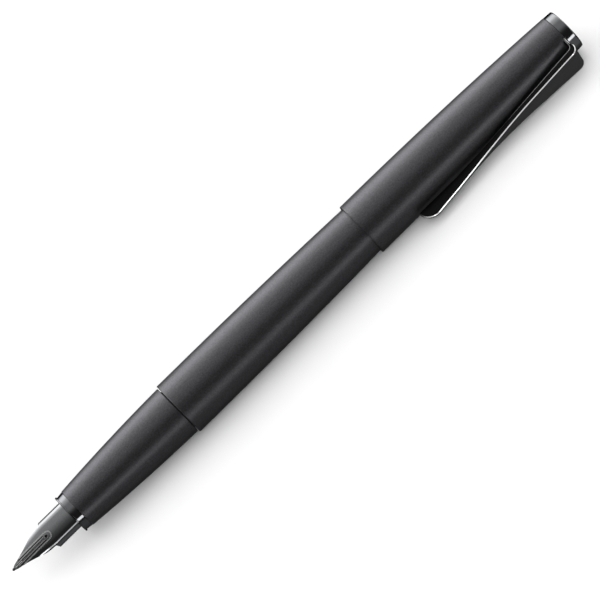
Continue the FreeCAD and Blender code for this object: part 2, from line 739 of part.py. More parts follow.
def make_clip():
    """The side view gives the clip's depth and its tongue, and the front view cuts its wedge shape."""
    body = new_body("clip", 90 + size("clip_dip"))
    sketch = draw(new_sketch(body, "side_view", "XZ_Plane"), [
        ("clip_end", "clip_heel + edge"), ("clip_peak", "clip_reach"),
        ("clip_bend_front", "clip_bend_front_reach"), ("clip_bend_rear", "clip_bend_rear_reach"),
        ("clip_rear - clip_corner", "clip_top_reach"), ("clip_rear", "clip_top_reach - clip_corner"),
        ("clip_rear", "clip_shelf"), ("tongue_rear", "clip_shelf - edge * 2"),
        ("tongue_rear", "tongue_end"), ("tongue_front", "tongue_end"),
        ("tongue_front", "clip_under - edge * 2"), ("clip_under_end", "clip_under"),
        ("clip_heel_end", "clip_heel"), ("clip_end + edge", "clip_heel"),
    ], {0: ("clip_reach - clip_heel", 1), 2: ("clip_bend_curve", -1), 4: ("clip_corner", 1)})
    pad = body.newObject("PartDesign::Pad", "full_width")
    pad.Profile = sketch
    pad.Midplane = True
    pad.setExpression("Length", bound("2 * wedge_end_half"))
    DOC.recompute()
    for name, sign, bulge in (("near_side", "", 1), ("far_side", "-", -1)):
        outside = f"{sign}2 * wedge_end_half"
        pocketed(body, name, "XY_Plane", [
            ("clip_end - clip_heel", f"{sign}blade_half"), ("blade_straight", f"{sign}blade_half"),
            ("wedge_start", f"{sign}wedge_start_half"), ("wedge_end", f"{sign}wedge_end_half"),
            ("clip_rear + clip_heel", f"{sign}wedge_end_half"), ("clip_rear + clip_heel", outside),
            ("clip_end - clip_heel", outside),
        ], {1: ("wedge_curve", -bulge)})
    return body


# ---------------------------------------------------------------- write


def check(pieces):
    for item in DOC.Objects:
        if "Invalid" in item.State or "Error" in item.State:
            raise RuntimeError(f"{item.Label} failed: {item.State}")
    for piece in pieces:
        if piece.Shape.isNull() or not piece.Shape.isValid() or len(piece.Shape.Solids) != 1:
            raise RuntimeError(f"{piece.Label} is not one valid solid")


def main():
    pieces = [make_nib(), make_tipping(), make_feed()]
    pieces += make_section()
    pieces += make_converter()
    pieces += make_barrel()
    pieces += make_cap()
    pieces.append(make_clip())
    DOC.recompute()
    check(pieces)
    os.makedirs("parts", exist_ok=True)
    for piece in pieces:
        piece.Shape.exportStep(f"parts/{piece.Label}.step")
        print(f"{piece.Label}: {piece.Shape.Volume:.2f} mm3")


main()
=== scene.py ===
import json
import math

import bmesh
import bpy
from mathutils import Matrix, Vector


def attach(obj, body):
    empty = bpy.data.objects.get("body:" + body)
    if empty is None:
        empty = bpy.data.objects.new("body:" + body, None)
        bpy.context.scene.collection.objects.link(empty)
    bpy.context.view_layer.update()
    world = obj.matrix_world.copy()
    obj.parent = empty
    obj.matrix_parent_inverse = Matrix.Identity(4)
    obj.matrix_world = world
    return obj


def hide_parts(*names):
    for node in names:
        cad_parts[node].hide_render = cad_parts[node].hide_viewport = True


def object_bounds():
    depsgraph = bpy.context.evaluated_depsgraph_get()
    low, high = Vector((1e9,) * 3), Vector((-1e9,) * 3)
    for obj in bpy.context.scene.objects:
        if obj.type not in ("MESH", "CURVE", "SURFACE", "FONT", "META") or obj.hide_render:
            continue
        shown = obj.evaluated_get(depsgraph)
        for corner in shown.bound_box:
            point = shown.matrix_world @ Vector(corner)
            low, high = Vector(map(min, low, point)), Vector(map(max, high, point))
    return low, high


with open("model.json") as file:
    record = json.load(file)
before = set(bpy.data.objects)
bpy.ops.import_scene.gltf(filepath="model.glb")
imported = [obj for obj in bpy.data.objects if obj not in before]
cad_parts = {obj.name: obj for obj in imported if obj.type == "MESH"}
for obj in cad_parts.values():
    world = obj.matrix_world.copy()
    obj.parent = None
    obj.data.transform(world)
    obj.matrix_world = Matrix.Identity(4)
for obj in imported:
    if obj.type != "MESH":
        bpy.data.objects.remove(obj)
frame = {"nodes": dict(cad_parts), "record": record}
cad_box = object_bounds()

MM = 0.001
TURN_STEPS = 128

# The pen's axis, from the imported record: the finial's face lies on it.
finial_face = next(mount for mount in frame["record"]["mounts"] if mount["name"] == "finial_face")
AXIS_Y, AXIS_Z = finial_face["pos_m"][1], finial_face["pos_m"][2]
TIP_X = cad_box[0][0]

CLIP_DIP = 25.7
CLIP_ROLL = math.radians(90 + CLIP_DIP)
NIB_ROLL = math.radians(44.7)


# ---------------------------------------------------------------- mesh helpers


def pen_matrix(roll=0.0):
    """From a piece's own frame (X from the nib's point, millimetres) to the shared frame in metres."""
    return Matrix.Translation((TIP_X, AXIS_Y, AXIS_Z)) @ Matrix.Rotation(roll, 4, "X") @ Matrix.Scale(MM, 4)


def add_mesh(name, points, faces, roll=0.0, crease=35.0):
    """A smooth piece, given in its own frame, with sharp edges where it turns by more than the crease."""
    mesh = bpy.data.meshes.new(name)
    mesh.from_pydata([tuple(p) for p in points], [], faces)
    mesh.transform(pen_matrix(roll))
    build = bmesh.new()
    build.from_mesh(mesh)
    bmesh.ops.remove_doubles(build, verts=build.verts, dist=1e-8)
    bmesh.ops.recalc_face_normals(build, faces=build.faces)
    build.to_mesh(mesh)
    build.free()
    mesh.shade_smooth()
    mesh.set_sharp_from_angle(angle=math.radians(crease))
    piece = bpy.data.objects.new(name, mesh)
    bpy.context.scene.collection.objects.link(piece)
    return piece


def arc(start, end, radius, steps=24):
    """Points of the shorter arc between two ends, without them; a positive radius swells to the left."""
    a, b = Vector(start), Vector(end)
    chord = b - a
    left = Vector((-chord.y, chord.x)).normalized() * math.copysign(1, radius)
    rise = math.sqrt(max(radius ** 2 - (chord.length / 2) ** 2, 0.0))
    centre = (a + b) / 2 - left * rise
    first = a - centre
    sweep = 2 * math.asin(min(1.0, chord.length / 2 / abs(radius)))
    turn = -math.copysign(sweep, radius)
    points = []
    for number in range(1, steps):
        rotation = Matrix.Rotation(turn * number / steps, 2)
        points.append(tuple(centre + rotation @ first))
    return points


def rounded(corners, steps=5):
    """An outline whose corners (x, y, radius) are rounded by that radius; a corner with none stays sharp."""
    outline = []
    count = len(corners)
    for number, corner in enumerate(corners):
        here = Vector(corner[:2])
        radius = corner[2] if len(corner) > 2 else 0.0
        if radius == 0.0:
            outline.append(tuple(here))
            continue
        back = (Vector(corners[number - 1][:2]) - here).normalized()
        ahead = (Vector(corners[(number + 1) % count][:2]) - here).normalized()
        half = math.acos(max(-1.0, min(1.0, back.dot(ahead)))) / 2
        reach = radius / math.tan(half)
        start, end = here + back * reach, here + ahead * reach
        centre = here + (back + ahead).normalized() * (radius / math.sin(half))
        from_angle = math.atan2(start.y - centre.y, start.x - centre.x)
        to_angle = math.atan2(end.y - centre.y, end.x - centre.x)
        swing = (to_angle - from_angle + math.pi) % (2 * math.pi) - math.pi
        for step in range(steps + 1):
            angle = from_angle + swing * step / steps
            outline.append((centre.x + radius * math.cos(angle), centre.y + radius * math.sin(angle)))
    return outline


def turned(name, outline, roll=0.0):
    """Turns a closed outline of (distance from the nib's point, radius) about the pen's axis."""
    points, faces = [], []
    rows = len(outline)
    for x, radius in outline:
        for step in range(TURN_STEPS):
            angle = 2 * math.pi * step / TURN_STEPS
            points.append((x, radius * math.cos(angle), radius * math.sin(angle)))
    for row in range(rows):
        following = (row + 1) % rows
        for step in range(TURN_STEPS):
            beside = (step + 1) % TURN_STEPS
            a, b = row * TURN_STEPS, following * TURN_STEPS
            faces.append((a + step, a + beside, b + beside, b + step))
    return add_mesh(name, points, faces, roll)


# ---------------------------------------------------------------- materials


GRAIN_RELIEF = 0.00002
COLOUR_STOPS, ROUGHNESS_STOPS = (0.3, 0.7), (0.25, 0.75)
COOL_BLACK, COOL_CHROME, COOL_STEEL = (0.98, 0.97, 1.03), (0.98, 1.0, 1.03), (0.98, 1.0, 1.02)
YELLOW = (0.95, 0.72, 0.36)


def new_material(name):
    material = bpy.data.materials.new(name)
    material.use_nodes = True
    tree = material.node_tree
    shader = next(node for node in tree.nodes if node.type == "BSDF_PRINCIPLED")
    return material, tree, shader


def add_noise(tree, scale):
    coordinates = tree.nodes.new("ShaderNodeTexCoord")
    noise = tree.nodes.new("ShaderNodeTexNoise")
    noise.inputs["Scale"].default_value = scale
    noise.inputs["Detail"].default_value = 3.0
    noise.inputs["Roughness"].default_value = 0.6
    tree.links.new(coordinates.outputs["Object"], noise.inputs["Vector"])
    return noise


def add_ramp(tree, source, places, colours, target):
    """Turns a grey source into a colour between two, and links it to a shader's socket."""
    ramp = tree.nodes.new("ShaderNodeValToRGB")
    for stop, place, colour in zip(ramp.color_ramp.elements, places, colours):
        stop.position = place
        stop.color = (*colour, 1)
    tree.links.new(source, ramp.inputs["Fac"])
    tree.links.new(ramp.outputs["Color"], target)


def add_bump(tree, shader, source, strength):
    bump = tree.nodes.new("ShaderNodeBump")
    bump.inputs["Strength"].default_value = strength
    bump.inputs["Distance"].default_value = GRAIN_RELIEF
    tree.links.new(source, bump.inputs["Height"])
    tree.links.new(bump.outputs["Normal"], shader.inputs["Normal"])


def grey(value, tint=(1.0, 1.0, 1.0)):
    return tuple(value * part for part in tint)


def grained(name, shades, rough, metallic, scale, bump=0.0, tint=(1.0, 1.0, 1.0), edge=1.0):
    """A surface with a fine grain in its colour, its roughness and, where bump isn't zero, its relief."""
    material, tree, shader = new_material(name)
    grain = add_noise(tree, scale).outputs["Fac"]
    colours = [grey(shade, tint) for shade in shades]
    add_ramp(tree, grain, COLOUR_STOPS, colours, shader.inputs["Base Color"])
    add_ramp(tree, grain, ROUGHNESS_STOPS, [grey(value) for value in rough], shader.inputs["Roughness"])
    shader.inputs["Metallic"].default_value = metallic
    shader.inputs["Specular Tint"].default_value = (*grey(edge), 1)
    if bump:
        add_bump(tree, shader, grain, bump)
    return material


# Each material: name, darkest and lightest shade, lowest and highest roughness, metallic share, grain
# frequency, relief, tint and the brightness of its edge reflection.
MATTE_BLACK = grained(
    "matte_black_coating", (0.125, 0.205), (0.37, 0.46), 0.98, 3600.0, 0.6, COOL_BLACK, 0.5,
)
BLACK_CHROME = grained(
    "polished_black_chrome", (0.27, 0.29), (0.06, 0.09), 1.0, 2500.0, 0.0, COOL_CHROME, 0.4,
)
NIB_STEEL = grained("black_nib_steel", (0.40, 0.47), (0.06, 0.10), 1.0, 5000.0, 0.05, COOL_STEEL, 0.4)
CLIP_FACE = grained("black_clip_face", (0.14, 0.19), (0.34, 0.42), 0.95, 4500.0, 0.3)
# The clip's sides: a far darker copy of the clip's steel, painted shade.
CLIP_SIDE_SHADE = grained("clip_side_painted_shade", (0.012, 0.018), (0.30, 0.38), 1.0, 6000.0)
# Near-white metal for the clip's chamfers: a painted highlight over their real reflection.
CHAMFER_HIGHLIGHT = grained("clip_chamfer_painted_highlight", (0.75, 0.85), (0.15, 0.22), 1.0, 5000.0)
BLACK_PLASTIC = grained("black_moulded_plastic", (0.010, 0.016), (0.30, 0.42), 0.0, 3000.0, 0.1)
GLOSS_PLASTIC = grained("gloss_black_plastic", (0.008, 0.012), (0.08, 0.14), 0.0, 3000.0)
ENGRAVING = grained("engraved_line_metal", (0.9, 0.98), (0.45, 0.55), 1.0, 8000.0)
GROOVE = grained("dark_groove_metal", (0.06, 0.08), (0.4, 0.5), 1.0, 8000.0)
WHITE_PLASTIC = grained("white_moulded_plastic", (0.62, 0.7), (0.4, 0.5), 0.0, 3000.0, 0.1)
RUBBER = grained("seal_rubber", (0.012, 0.02), (0.6, 0.7), 0.0, 4000.0, 0.2)
BRASS = grained("turned_brass", (0.7, 0.8), (0.2, 0.3), 1.0, 3000.0, 0.05, YELLOW)
SPRING_STEEL = grained("spring_steel", (0.55, 0.65), (0.25, 0.35), 1.0, 4000.0, 0.05)
TIPPING = grained("tipping_alloy", (0.12, 0.15), (0.2, 0.3), 1.0, 6000.0)
# Near-black metal for the trim ring's front rim: painted shade where the nib enters the ring.
RING_FRONT_SHADE = grained("ring_front_painted_shade", (0.02, 0.03), (0.25, 0.35), 1.0, 6000.0)
# Pale grey for the chamfer where the tongue enters the rim, and light metal for the clip's inner edge along
# the wedge: both painted highlights.
TONGUE_EDGE_HIGHLIGHT = grained("clip_tongue_painted_highlight", (0.55, 0.65), (0.45, 0.55), 0.0, 5000.0)
INNER_EDGE_HIGHLIGHT = grained("clip_inner_edge_painted_highlight", (0.5, 0.6), (0.25, 0.35), 1.0, 5000.0)
CLEAR = grained("clear_tube_plastic", (0.9, 0.95), (0.03, 0.06), 0.0, 3000.0)
CLEAR.node_tree.nodes["Principled BSDF"].inputs["Transmission Weight"].default_value = 1.0


def finish_piece(piece, material, body, slot, *replaced):
    """Gives a piece its material and its body, and hides the CAD nodes that it replaces; slot is not used.
    """
    piece.data.materials.clear()
    piece.data.materials.append(material)
    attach(piece, body)
    if replaced:
        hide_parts(*replaced)


def paint(node, material):
    """Gives a CAD node that keeps its own mesh a better material."""
    piece = frame["nodes"][node]
    if not piece.material_slots:
        piece.data.materials.append(material)
    for material_slot in piece.material_slots:
        material_slot.material = material


# ---------------------------------------------------------------- turned shells


GRIP_FRONT, GRIP_REAR = 18.2, 46.8
RING_FRONT, RING_REAR = 16.3, 18.18
BARREL_FRONT, BARREL_STRAIGHT, BARREL_REAR = 46.95, 54.0, 126.0
CAP_FRONT, CAP_REAR = 99.15, 155.8
FINIAL_FRONT, FINIAL_REAR = 155.87, 158.0


def make_grip():
    """The grip's shell, which swells towards the barrel."""
    front, rear = (GRIP_FRONT, 4.57), (GRIP_REAR, 5.74)
    front_edge, rear_edge = 0.1, 0.2
    front_bore, rear_bore, swell = 4.02, 5.22, 452.0
    start = (front[0] + front_edge, front[1] + front_edge)
    end = (rear[0] - rear_edge, rear[1] + rear_edge)
    outline = [(GRIP_FRONT, front_bore), front]
    outline += arc(front, start, front_edge, 4)
    outline += [start] + arc(start, end, swell, 40)
    outline += [end] + arc(end, rear, rear_edge, 5)
    outline += [rear, (GRIP_REAR, rear_bore)]
    piece = turned("grip_tube", outline)
    finish_piece(piece, MATTE_BLACK, "section", "matte_black_steel", "grip_shell")


def make_ring():
    """The trim ring, with a lip in front whose front rim is near-black, a painted shade where the nib enters
    the ring.
    """
    bore, front_bore, bore_step = 4.02, 3.6, 16.95
    lip_radius, lip_rear, shaded_length = 4.64, RING_FRONT + 0.35, 0.28
    band_front, band_rear = (RING_FRONT + 0.38, 4.4), (RING_REAR, 4.56)
    # Two points on the band, close to its ends, keep its smooth shading even between them.
    near_front, near_rear = (RING_FRONT + 0.46, 4.4085), (RING_REAR - 0.1, 4.549)
    outline = rounded([
        (RING_FRONT, front_bore, 0.06), (RING_FRONT, lip_radius, 0.09), (lip_rear, lip_radius, 0.06),
        band_front, near_front, near_rear, (*band_rear, 0.05),
        (RING_REAR, bore), (bore_step, bore), (bore_step, front_bore),
    ])
    ring = turned("front_ring", outline)
    finish_piece(ring, BLACK_CHROME, "section", "black_chrome", "trim_ring")
    # The lip's front rim takes the near-black material: painted shade where the nib enters the ring.
    ring.data.materials.append(RING_FRONT_SHADE)
    shade_end = TIP_X + (RING_FRONT + shaded_length) * MM
    for polygon in ring.data.polygons:
        if max(ring.data.vertices[index].co.x for index in polygon.vertices) < shade_end:
            polygon.material_index = 1


def make_barrel():
    """The barrel: straight in front, then one long curve to its tail, outside and inside."""
    radius, bore, wall, swell = 6.37, 5.87, 0.5, 1560.0
    front_edge, rear_edge = 0.2, 0.2
    tail = (BARREL_REAR - rear_edge, 4.71)
    tail_end = (BARREL_REAR, tail[1] - rear_edge)
    tail_bore = (BARREL_REAR, tail[1] - wall)
    front, start = (BARREL_FRONT, radius - front_edge), (BARREL_FRONT + front_edge, radius)
    outline = [(BARREL_FRONT, bore), front] + arc(front, start, front_edge, 5)
    outline += [start, (BARREL_STRAIGHT, radius)]
    outline += arc((BARREL_STRAIGHT, radius), tail, swell, 60)
    outline += [tail] + arc(tail, tail_end, rear_edge, 4)
    outline += [tail_end, tail_bore] + arc(tail_bore, (BARREL_STRAIGHT, bore), -swell, 40)
    outline += [(BARREL_STRAIGHT, bore)]
    finish_piece(turned("barrel_tube", outline), MATTE_BLACK, "barrel", "matte_black_steel", "barrel")


def make_cap():
    """The cap's shell, with the slot in its rim for the clip's tongue."""
    mouth_bore, mouth, mouth_edge = 6.0, 6.25, 0.1
    rim_bore, rim, rim_edge, swell = 4.48, 4.88, 0.05, 1090.0
    front, start = (CAP_FRONT, mouth), (CAP_FRONT + mouth_edge, mouth + mouth_edge)
    end = (CAP_REAR - rim_edge, rim)
    outline = [(CAP_FRONT, mouth_bore), front] + arc(front, start, mouth_edge, 4)
    outline += [start] + arc(start, end, swell, 60)
    outline += [end, (CAP_REAR, rim - rim_edge), (CAP_REAR, rim_bore)]
    outline += arc((CAP_REAR, rim_bore), (CAP_FRONT, mouth_bore), -swell, 60)
    cap = turned("cap_tube", outline, CLIP_ROLL)
    slot_half = WEDGE_END_HALF + SLOT_GAP
    past_rim, past_clip = 156.2, 12.0
    cut_box(cap, (TONGUE_FRONT - SLOT_GAP, past_rim), (-slot_half, slot_half), (0.0, past_clip), CLIP_ROLL)
    finish_piece(cap, MATTE_BLACK, "cap", "matte_black_steel", "cap_shell")


def cut_box(piece, across_x, across_y, across_z, roll):
    """Cuts a box, given by its sides in the piece's own frame, out of a piece."""
    points = [(x, y, z) for x in across_x for y in across_y for z in across_z]
    faces = [(0, 1, 3, 2), (4, 6, 7, 5), (0, 4, 5, 1), (2, 3, 7, 6), (0, 2, 6, 4), (1, 5, 7, 3)]
    cutter = add_mesh("cutter", points, faces, roll)
    apply_difference(piece, cutter)


def apply_difference(piece, cutter):
    modifier = piece.modifiers.new("cut", "BOOLEAN")
    modifier.operation = "DIFFERENCE"
    modifier.solver = "EXACT"
    modifier.object = cutter
    bpy.context.view_layer.update()
    evaluated = piece.evaluated_get(bpy.context.evaluated_depsgraph_get())
    mesh = bpy.data.meshes.new_from_object(evaluated)
    piece.modifiers.clear()
    piece.data = mesh
    bpy.data.objects.remove(cutter)


def make_finial():
    """The cap's polished end disc, with its stud."""
    radius, end_radius, end_edge, boss = 4.83, 4.72, 0.3, 4.2
    stud_front, stud_rear, stud = 148.4, 155.77, 1.25
    nearly_zero = 0.001
    # Two points on the rim, close to its rounded edges, keep its smooth shading even between them.
    near_front, near_rear = (FINIAL_FRONT + 0.16, 4.822), (FINIAL_REAR - 0.36, 4.739)
    outline = rounded([
        (FINIAL_FRONT, boss), (FINIAL_FRONT, radius, 0.1), near_front, near_rear,
        (FINIAL_REAR, end_radius, end_edge), (FINIAL_REAR, nearly_zero),
        (stud_front, nearly_zero), (stud_front, stud), (stud_rear, stud), (stud_rear, boss),
    ], 6)
    finish_piece(turned("finial_disc", outline), BLACK_CHROME, "cap", "black_chrome", "finial")


# ---------------------------------------------------------------- nib


NIB_FRONT, NIB_SHOULDER, NIB_TAIL = 0.6, 9.92, 31.0
NIB_SHEET = 0.32
NIB_FLANK_HALF, NIB_STEP = 3.34, 0.45
NIB_TOP_TIP, NIB_TOP_REAR = 0.95, 2.55
NIB_CROWN_TIP, NIB_CROWN_REAR, NIB_FLANK_BEND = 4.0, 10.5, 2.2
# The crown's bend ends at this angle, or earlier where the nib is narrow.
NIB_CROWN_ANGLE, NIB_CROWN_SHARE = math.radians(8.0), 0.8
BREATHER_PLACE, BREATHER_RADIUS = 9.8, 0.31
# Half the nib's width at shares of the way from its front to its shoulder.
NIB_TAPER = [
    (0.0, 0.36), (0.07, 0.60), (0.16, 0.78), (0.26, 1.02), (0.37, 1.30), (0.48, 1.61),
    (0.58, 1.93), (0.69, 2.28), (0.8, 2.52), (0.9, 2.63), (1.0, 2.67),
]


def eased(table, place):
    """Reads a table of (place, value) with a smooth curve through its points."""
    last = len(table) - 1
    number = max(0, min(last - 1, sum(1 for at, _ in table if at <= place) - 1))
    (x0, y0), (x1, y1) = table[number], table[number + 1]
    before, after = table[max(number - 1, 0)], table[min(number + 2, last)]
    slope0 = (y1 - before[1]) / (x1 - before[0])
    slope1 = (after[1] - y0) / (after[0] - x0)
    wide = x1 - x0
    t = (place - x0) / wide
    start = (2 * t ** 3 - 3 * t ** 2 + 1) * y0 + (t ** 3 - 2 * t ** 2 + t) * wide * slope0
    return start + (3 * t ** 2 - 2 * t ** 3) * y1 + (t ** 3 - t ** 2) * wide * slope1


def nib_shape(distance):
    """Half width, crown bend, height of the back and the angles where the crown and the sheet end."""
    share = min(1.0, (distance - NIB_FRONT) / (NIB_SHOULDER - NIB_FRONT))
    half = eased(NIB_TAPER, share)
    rise = max(0.0, min(1.0, (distance - NIB_SHOULDER) / NIB_STEP))
    half += (NIB_FLANK_HALF - half) * rise
    crown = NIB_CROWN_TIP + (NIB_CROWN_REAR - NIB_CROWN_TIP) * share
    left = max(0.0, 1 - distance / NIB_SHOULDER)
    top = NIB_TOP_REAR - (NIB_TOP_REAR - NIB_TOP_TIP) * left ** 2
    turn = min(NIB_CROWN_ANGLE, NIB_CROWN_SHARE * math.asin(half / crown))
    edge_turn = math.asin((half - (crown - NIB_FLANK_BEND) * math.sin(turn)) / NIB_FLANK_BEND)
    return half, crown, top, turn, edge_turn


def nib_at_angle(distance, angle, below, shape):
    """A point of the nib at an angle of its bend: the crown's arc, or the flanks' tighter arc past it."""
    _, crown, top, turn, _ = shape
    in_flank = crown - NIB_FLANK_BEND if abs(angle) > turn else 0.0
    radius = (NIB_FLANK_BEND if abs(angle) > turn else crown) - below
    side = math.copysign(in_flank * math.sin(turn), angle) + radius * math.sin(angle)
    return (distance, side, top - crown + in_flank * math.cos(turn) + radius * math.cos(angle))


def nib_point(distance, across, below=0.0):
    """A point of the nib: across runs from -1 to 1 along its bent sheet, below is a depth under its back."""
    shape = nib_shape(distance)
    _, crown, _, turn, edge_turn = shape
    crown_length = crown * turn
    length = abs(across) * (crown_length + NIB_FLANK_BEND * (edge_turn - turn))
    angle = length / crown if length <= crown_length else turn + (length - crown_length) / NIB_FLANK_BEND
    return nib_at_angle(distance, math.copysign(angle, across), below, shape)


def nib_point_at(distance, width, below=0.0):
    """The same, for a distance in millimetres from the nib's middle line."""
    shape = nib_shape(distance)
    _, crown, _, turn, _ = shape
    reach = crown * math.sin(turn)
    if abs(width) <= reach:
        angle = math.asin(abs(width) / crown)
    else:
        angle = math.asin((abs(width) - (crown - NIB_FLANK_BEND) * math.sin(turn)) / NIB_FLANK_BEND)
    return nib_at_angle(distance, math.copysign(angle, width), below, shape)


NIB_TAIL_STATIONS = (11.5, 13.0, 16.0, 20.0, 26.0, NIB_TAIL)
SLIT_HALF = 0.04
ABOVE_NIB = 4.0


def make_nib():
    """The nib's bent sheet, with its slit and its breather hole cut out."""
    rows, columns = 140, 64
    length = NIB_SHOULDER + NIB_STEP - NIB_FRONT
    stations = [NIB_FRONT + length * row / rows for row in range(rows + 1)]
    stations += NIB_TAIL_STATIONS
    points, faces, starts = [], [], []
    for distance in stations:
        outer = [nib_point(distance, -1 + 2 * c / columns) for c in range(columns + 1)]
        inner = [nib_point(distance, 1 - 2 * c / columns, NIB_SHEET) for c in range(columns + 1)]
        starts.append(len(points))
        points += outer + inner
    size = 2 * (columns + 1)
    for a, b in zip(starts, starts[1:]):
        for step in range(size):
            beside = (step + 1) % size
            faces.append((a + step, a + beside, b + beside, b + step))
    faces.append(tuple(range(size)))
    faces.append(tuple(starts[-1] + step for step in range(size)))
    nib = add_mesh("nib_sheet", points, faces, NIB_ROLL, crease=40.0)
    cut_box(nib, (NIB_FRONT - 1, BREATHER_PLACE), (-SLIT_HALF, SLIT_HALF), (0.0, ABOVE_NIB), NIB_ROLL)
    apply_difference(nib, breather_bar())
    finish_piece(nib, NIB_STEEL, "section", "black_nib_steel", "nib")


def breather_bar():
    """A round bar through the nib, which cuts its breather hole."""
    steps = 32
    points, faces = [], []
    for height in (0.0, ABOVE_NIB):
        for step in range(steps):
            angle = 2 * math.pi * step / steps
            x = BREATHER_PLACE + BREATHER_RADIUS * math.cos(angle)
            points.append((x, BREATHER_RADIUS * math.sin(angle), height))
    for step in range(steps):
        beside = (step + 1) % steps
        faces.append((step, beside, steps + beside, steps + step))
    faces.append(tuple(range(steps)))
    faces.append(tuple(range(steps, 2 * steps)))
    return add_mesh("cutter", points, faces, NIB_ROLL)


# Fine lines beside the slit: place across the nib, width and material.
FINE_LINES = [
    (-0.54, 0.22, GROOVE), (-0.3, 0.12, ENGRAVING), (-0.14, 0.12, GROOVE),
    (0.14, 0.12, GROOVE), (0.3, 0.12, ENGRAVING), (0.54, 0.22, GROOVE),
]
# Where a fine line would start on the middle line, how much later it starts beside it, and where it ends.
FINE_LINE_START, FINE_LINE_SLANT, FINE_LINE_END, FINE_LINE_STEPS = 1.2, 1.6, 9.3, 60
HAIRPIN_HALF, HAIRPIN_TURN, HAIRPIN_OPEN, HAIRPIN_WIDTH = 0.84, 10.05, 2.6, 0.26
# How far the lines' backs stand proud, how deep their sides reach, and the flat share of their width.
HAIRPIN_LIFT, FINE_LINE_LIFT, LINE_DEPTH, LINE_FLAT = 0.02, 0.01, 0.02, 0.85


def ribbon(name, path, width, material, lift):
    """A fine line on the nib's back: a low ridge along a path of (distance, sideways) points."""
    points, faces = [], []
    for number, (distance, side) in enumerate(path):
        ahead = path[min(number + 1, len(path) - 1)]
        behind = path[max(number - 1, 0)]
        way = Vector((ahead[0] - behind[0], ahead[1] - behind[1])).normalized()
        normal = Vector((-way.y, way.x)) * width / 2
        for offset, below in ((-1, LINE_DEPTH), (-LINE_FLAT, -lift), (LINE_FLAT, -lift), (1, LINE_DEPTH)):
            points.append(nib_point_at(distance + normal.x * offset, side + normal.y * offset, below))
    count = len(path)
    for number in range(count - 1):
        for step in range(4):
            a, b = number * 4 + step, number * 4 + (step + 1) % 4
            faces.append((a, b, b + 4, a + 4))
    faces.append((0, 1, 2, 3))
    faces.append(tuple((count - 1) * 4 + step for step in range(4)))
    finish_piece(add_mesh(name, points, faces, NIB_ROLL), material, "section", "black_nib_steel")


def make_engraving():
    """A hairpin line round the breather hole, open towards the point, and fine lines inside it."""
    leg_steps, turn_steps = 80, 24
    leg = [HAIRPIN_OPEN + (HAIRPIN_TURN - HAIRPIN_OPEN) * n / leg_steps for n in range(leg_steps + 1)]
    path = [(distance, HAIRPIN_HALF) for distance in leg]
    for step in range(1, turn_steps):
        angle = math.pi * step / turn_steps
        path.append((HAIRPIN_TURN + HAIRPIN_HALF * math.sin(angle), HAIRPIN_HALF * math.cos(angle)))
    path += [(distance, -HAIRPIN_HALF) for distance in reversed(leg)]
    ribbon("nib_hairpin_line", path, HAIRPIN_WIDTH, ENGRAVING, HAIRPIN_LIFT)
    for number, (side, wide, material) in enumerate(FINE_LINES):
        start = FINE_LINE_START + FINE_LINE_SLANT * abs(side)
        length = FINE_LINE_END - start
        path = [(start + length * n / FINE_LINE_STEPS, side) for n in range(FINE_LINE_STEPS + 1)]
        ribbon(f"nib_fine_line_{number}", path, wide, material, FINE_LINE_LIFT)


def make_tipping():
    """The hard grain at the nib's point: a ball that is drawn out along the pen."""
    radius, steps, stretch = 0.3, 24, 1.45
    height = nib_shape(NIB_FRONT)[2] - NIB_SHEET / 2
    points, faces = [], []
    for row in range(1, steps):
        polar = math.pi * row / steps
        for step in range(steps * 2):
            angle = math.pi * step / steps
            x = radius * stretch * (1 - math.cos(polar))
            ring = radius * math.sin(polar)
            points.append((x, ring * math.cos(angle), height + ring * math.sin(angle)))
    size = steps * 2
    for row in range(steps - 2):
        for step in range(size):
            beside = (step + 1) % size
            a, b = row * size, (row + 1) * size
            faces.append((a + step, a + beside, b + beside, b + step))
    faces.append(tuple(range(size)))
    faces.append(tuple((steps - 2) * size + step for step in range(size)))
    ball = add_mesh("tipping_point", points, faces, NIB_ROLL, crease=60.0)
    finish_piece(ball, TIPPING, "section", "tipping_alloy", "nib_tipping")


# ---------------------------------------------------------------- clip


# Distances run along the pen from the nib's point, and heights outwards from the pen's axis.
BLADE_HALF, BLADE_STRAIGHT = 0.42, 117.0
WEDGE_START, WEDGE_START_HALF, WEDGE_CURVE = 134.0, 1.4, 148.0
WEDGE_END, WEDGE_END_HALF = 154.3, 3.63
CLIP_FREE_END, CLIP_HEEL, CLIP_NOSE = 109.6, 6.75, 3.09
CLIP_PEAK = (112.5, 9.84)
CLIP_BEND_FRONT, CLIP_BEND_REAR, CLIP_BEND = (125.5, 8.33), (142.0, 7.26), 180.0
CLIP_TOP, CLIP_REAR, CLIP_CORNER, CLIP_SHELF = 7.14, 156.0, 1.6, 5.35
HEEL_END, CLIP_UNDER, UNDER_BEND = 120.0, 5.68, 1.0
TONGUE_FRONT, TONGUE_REAR, TONGUE_TOP, TONGUE_END = 155.27, 155.72, 4.95, 1.7
SLOT_GAP = 0.15
# The outside starts this far above the heel, and the heel this far behind the free end.
NOSE_RISE, HEEL_SETBACK = 0.2, 0.25


